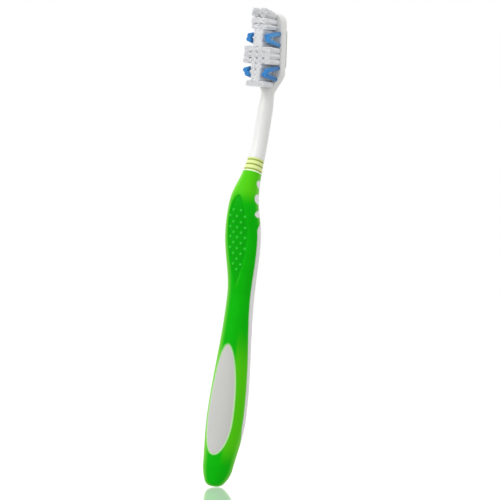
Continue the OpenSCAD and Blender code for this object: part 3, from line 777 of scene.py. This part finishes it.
def makeTongue():
    # rows as wide as the head less a margin, rounded at both ends by quarter circles; the face stands
    # out by its thickness, less the rounded rim, plus eased ribs that start a little inside the rim
    s, shell = tongue, Shell()
    z = mix(s["low"], s["top"], (1 - np.cos(np.linspace(0, math.pi, s["rows"]))) / 2)[:, None]
    half = headHalf(throatZ + z * math.cos(head["tilt"])) - s["margin"]
    half = half * quarter((z - s["low"]) / s["round"]) * quarter((s["top"] - z) / s["round"])
    u = np.sin(np.linspace(-1, 1, s["cols"]) * math.pi / 2)[None]
    flat = np.stack([half * u, 0 * half * u, z + 0 * u], -1)
    far = nearest(flat, np.concatenate([flat[:, 0], flat[:, -1]]))
    turn = (z - s["low"]) / s["ribPitch"]
    toRib = np.abs(turn - np.round(turn)) * s["ribPitch"]
    rib = s["ribHeight"] * (1 - ease((toRib - s["ribWidth"] / 4) / (s["ribWidth"] / 2)))
    face, foot = flat.copy(), flat.copy()
    foot[..., 1] = head["plateThick"]
    face[..., 1] = head["plateThick"] + s["thick"] - roundOver(far, s["edgeRound"])
    face[..., 1] += rib * ease((far - s["ribInset"]) / s["ribRise"])
    for grid in (face, foot, *(np.stack([face[:, k], foot[:, k]]) for k in (0, -1))):
        shell.add(fromHead(grid))
    return shell.build("tonguePad")


finish(makeTongue(), paleRubber, "tongue_rubber", "tongue_pad")
print("tongue pad made")

# Filaments: a leg's stations below 0 are shares of its length, out from the plate, and those above 0
# are shares of the hole's depth. The real ones are 0.2 mm thick, which is too fine to show, so these
# are thicker.

strands = {
    "thick": 0.3, "folds": 40, "goldenTurn": math.radians(137.5), "fullTurn": 6.28,
    "uneven": 0.2, "stray": 0.05, "toneRange": 0.55, "fanPower": 0.3, "leanPower": 1.15,
    "anchorThick": 0.25, "anchorLow": 2.5, "bendStep": 0.12, "bendLayers": 3,
    "stations": (-1, -0.994, -0.984, -0.5, -0.12, 0, 0.55), "legSizes": (0.4, 0.9, 1.1, 1.05, 1, 1, 1),
    "bendSize": 1,
}


def foldPaths(t):
    # Paths from one tip into the hole, under the anchor and back to the other tip. The roots lie on a
    # sunflower's spiral. A leg's place is its root's place, times a spread that grows as the height to
    # a power, plus the lean, the gather and its own stray. A white tuft's spread is larger towards the
    # corners, so that its tips fill a rounded square.
    s, folds, radius = strands, strands["folds"], strands["thick"] / 2
    count, reach = 2 * folds, tufts["holeWidth"] / 2 - radius
    out = reach * np.sqrt((np.arange(count) + 0.5) / count)
    turn = np.arange(count) * s["goldenTurn"] + rng.uniform(0, s["fullTurn"])
    x, z = out * np.cos(turn), out * np.sin(turn)
    order = np.argsort(z)
    square = 1 if t["blue"] else (np.cos(turn) ** 4 + np.sin(turn) ** 4) ** -0.25
    wideX, wideZ = (square * (1 + share / reach) * np.ones(count) for share in t["fan"])
    gap = s["anchorThick"] / 2 + radius
    stations = np.array(s["stations"])[None]
    up, down = np.maximum(0, -stations), np.maximum(0, stations) / s["stations"][-1]
    fanned = up ** s["fanPower"]
    legs = []
    for side, half in ((-1, order[:folds]), (1, order[folds:])):
        leg = half[np.argsort(x[half])][:, None]
        tall = tufts["length"] + t["rise"] - rng.uniform(0, s["uneven"], (folds, 1))
        stray = rng.normal(0, s["stray"], (2, folds, 1))
        px = x[leg] * mix(1, wideX[leg], fanned) + (t["gather"] + stray[0]) * up
        pz = mix(z[leg], side * np.maximum(side * z[leg], gap), down) * mix(1, wideZ[leg], fanned)
        py = np.where(stations < 0, stations * tall, stations * tufts["holeDepth"])
        legs.append(np.stack([px, py, pz + (t["lean"] + stray[1]) * up ** s["leanPower"]], -1))
    bend = (legs[0][:, -1:] + legs[1][:, -1:]) / 2
    bend[:, 0, 1] = s["anchorLow"] + radius + s["bendStep"] * (np.arange(folds) % s["bendLayers"])
    bend[:, 0, 2] = 0
    return np.concatenate([legs[0], bend, legs[1][:, ::-1]], 1)


def makeTuft(t):
    # Four-sided tubes along the paths: each point has four corners round it, in the plane of the x
    # axis and of the line that is square to both x and the path.
    s, folds, radius = strands, strands["folds"], strands["thick"] / 2
    path = foldPaths(t)
    rings = path.shape[1]
    size = radius * np.array([*s["legSizes"], s["bendSize"], *s["legSizes"][::-1]])[None, :, None, None]
    across = np.cross(np.gradient(path, axis=1), [1.0, 0, 0])
    across = (across / np.linalg.norm(across, axis=-1, keepdims=True))[:, :, None]
    corner = (np.arange(4) + 0.5)[None, None, :, None] * math.pi / 2
    tube = path[:, :, None] + size * (np.cos(corner) * np.array([1.0, 0, 0]) + np.sin(corner) * across)
    f, r, c = np.meshgrid(np.arange(folds), np.arange(rings - 1), np.arange(4), indexing="ij")
    a, b = (f * rings + r) * 4 + c, (f * rings + r) * 4 + (c + 1) % 4
    quads = np.stack([a, b, b + 4, a + 4], -1).reshape(-1, 4)
    first = np.arange(folds)[:, None] * rings * 4
    tips = np.concatenate([first + [[3, 2, 1, 0]], first + (rings - 1) * 4 + [[0, 1, 2, 3]]])
    mesh = bpy.data.meshes.new(t["node"] + "Strands")
    points = fromHead(tube + [t["x"], 0, t["z"]]).reshape(-1, 3) * mm
    mesh.from_pydata(points.tolist(), [], np.concatenate([quads, tips]).tolist())
    up = np.maximum(0, -np.array(s["stations"]))
    along = np.concatenate([up, [0], up[::-1]])[None, :, None]
    tones = rng.uniform(0, s["toneRange"], folds)[:, None, None]
    for mark, values in (("alongStrand", along), ("strandTone", tones)):
        setMark(mesh, mark, np.broadcast_to(values, (folds, rings, 4)))
    mesh.shade_smooth()
    return newObject(t["node"] + "Strands", mesh)


for t in tuftList:
    nylon, slot = (blueNylon, "blue_nylon") if t["blue"] else (whiteNylon, "white_nylon")
    finish(makeTuft(t), nylon, slot, t["node"])
print("tufts made:", len(tuftList))

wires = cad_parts["anchor_wires"]
wires.data.materials.clear()
wires.data.materials.append(brass)

# Stage: a white floor with a soft mirror image, a white tent of light, and the photograph's camera.
# The lamps' places are metres from the target as the camera sees it.

white = (1, 1, 1, 1)
stage = {
    "floorSize": 3.0, "touch": -0.42, "glow": 1.4, "mirror": 0.7, "mirrorRough": 0.08, "paper": 0.15,
    "paperColour": (0.9, 0.9, 0.9, 1), "bounce": 0.65, "tent": 0.83, "backdrop": 1.0,
}
lamps = {
    "keySoftBox": {"right": -0.55, "front": 0.35, "up": 0.35, "size": 0.45, "watts": 1.9},
    "topSoftBox": {"right": -0.1, "front": 0.1, "up": 0.8, "size": 0.5, "watts": 1},
}
view = {
    "azimuth": math.radians(29), "distance": 0.6, "target": (0, -0.001, 0.095), "roll": math.radians(7.8),
    "pxPerMm": 2.477, "targetPixel": (244.2, 252.9), "frame": 500,
}
toCamera = Vector((math.sin(view["azimuth"]), -math.cos(view["azimuth"]), 0))
sideways = Vector((math.cos(view["azimuth"]), math.sin(view["azimuth"]), 0))
upright = Vector((0, 0, 1))
target = Vector(view["target"])
right = math.cos(view["roll"]) * sideways + math.sin(view["roll"]) * upright
top = math.cos(view["roll"]) * upright - math.sin(view["roll"]) * sideways


def makeFloor():
    # A sheet of white acrylic over glowing paper. It has the camera's roll, so that it is level in the
    # picture and the mirror image falls as in the photograph. At touch, which is measured up the
    # picture from the origin, it meets the low side of the butt's flat.
    mesh = bpy.data.meshes.new("floor")
    h = stage["floorSize"] / 2
    flat = Matrix((right, top, toCamera)).transposed()
    corners = [flat @ Vector((x, stage["touch"] * mm, y)) for x, y in ((-h, h), (h, h), (h, -h), (-h, -h))]
    mesh.from_pydata(corners, [], [(0, 1, 2, 3)])
    floor = newObject("floor", mesh)
    material = bpy.data.materials.new("whiteAcrylicSheet")
    material.use_nodes = True
    tree = material.node_tree
    tree.nodes.clear()
    glow = addNode(tree, "ShaderNodeEmission", {"Strength": stage["glow"]}).outputs[0]
    paper = addNode(tree, "ShaderNodeBsdfDiffuse", {"Color": stage["paperColour"]}).outputs[0]
    gloss = {"Roughness": stage["mirrorRough"], "Color": white}
    mirror = addNode(tree, "ShaderNodeBsdfGlossy", gloss).outputs[0]
    under = addNode(tree, "ShaderNodeMixShader", {0: stage["paper"]}, {1: glow, 2: paper}).outputs[0]
    seen = addNode(tree, "ShaderNodeMixShader", {0: stage["mirror"]}, {1: under, 2: mirror}).outputs[0]
    bounce = addNode(tree, "ShaderNodeEmission", {"Strength": stage["bounce"]}).outputs[0]
    byCamera = addNode(tree, "ShaderNodeLightPath").outputs["Is Camera Ray"]
    whole = addNode(tree, "ShaderNodeMixShader", None, {0: byCamera, 1: bounce, 2: seen}).outputs[0]
    addNode(tree, "ShaderNodeOutputMaterial", None, {"Surface": whole})
    mesh.materials.append(material)


def makeWorld():
    # white where the camera or a mirror sees it, and a softer tent of light elsewhere
    world = bpy.data.worlds.new("whiteTent")
    bpy.context.scene.world = world
    world.use_nodes = True
    tree = world.node_tree
    tree.nodes.clear()
    path = addNode(tree, "ShaderNodeLightPath").outputs
    rays = {0: path["Is Camera Ray"], 1: path["Is Glossy Ray"]}
    seen = addNode(tree, "ShaderNodeMath", {"operation": "MAXIMUM"}, rays).outputs[0]
    tent, backdrop = (
        addNode(tree, "ShaderNodeBackground", {"Strength": stage[name], "Color": white}).outputs[0]
        for name in ("tent", "backdrop"))
    mixed = addNode(tree, "ShaderNodeMixShader", None, {0: seen, 1: tent, 2: backdrop}).outputs[0]
    addNode(tree, "ShaderNodeOutputWorld", None, {"Surface": mixed})


def addLamp(name, box):
    # a square soft box that faces the target
    lamp = bpy.data.lights.new(name, "AREA")
    lamp.energy, lamp.size = box["watts"], box["size"]
    place = target + sideways * box["right"] + toCamera * box["front"] + upright * box["up"]
    turn = (target - place).to_track_quat("-Z", "Y").to_matrix().to_4x4()
    newObject(name, lamp).matrix_world = Matrix.Translation(place) @ turn


def makeCamera():
    # the photograph's view: the target falls on its pixel, and a millimetre there is so many pixels wide
    camera = newObject("photoCamera", bpy.data.cameras.new("photoCamera"))
    size = view["frame"]
    turn = Matrix((right, top, toCamera)).transposed().to_4x4()
    camera.matrix_world = Matrix.Translation(target + toCamera * view["distance"]) @ turn
    camera.data.angle = 2 * math.atan(size / view["pxPerMm"] * mm / 2 / view["distance"])
    camera.data.shift_x = (size / 2 - view["targetPixel"][0]) / size
    camera.data.shift_y = (view["targetPixel"][1] - size / 2) / size
    bpy.context.scene.camera = camera


makeFloor()
makeWorld()
for name, box in lamps.items():
    addLamp(name, box)
makeCamera()
bpy.context.scene.view_settings.view_transform = "Standard"
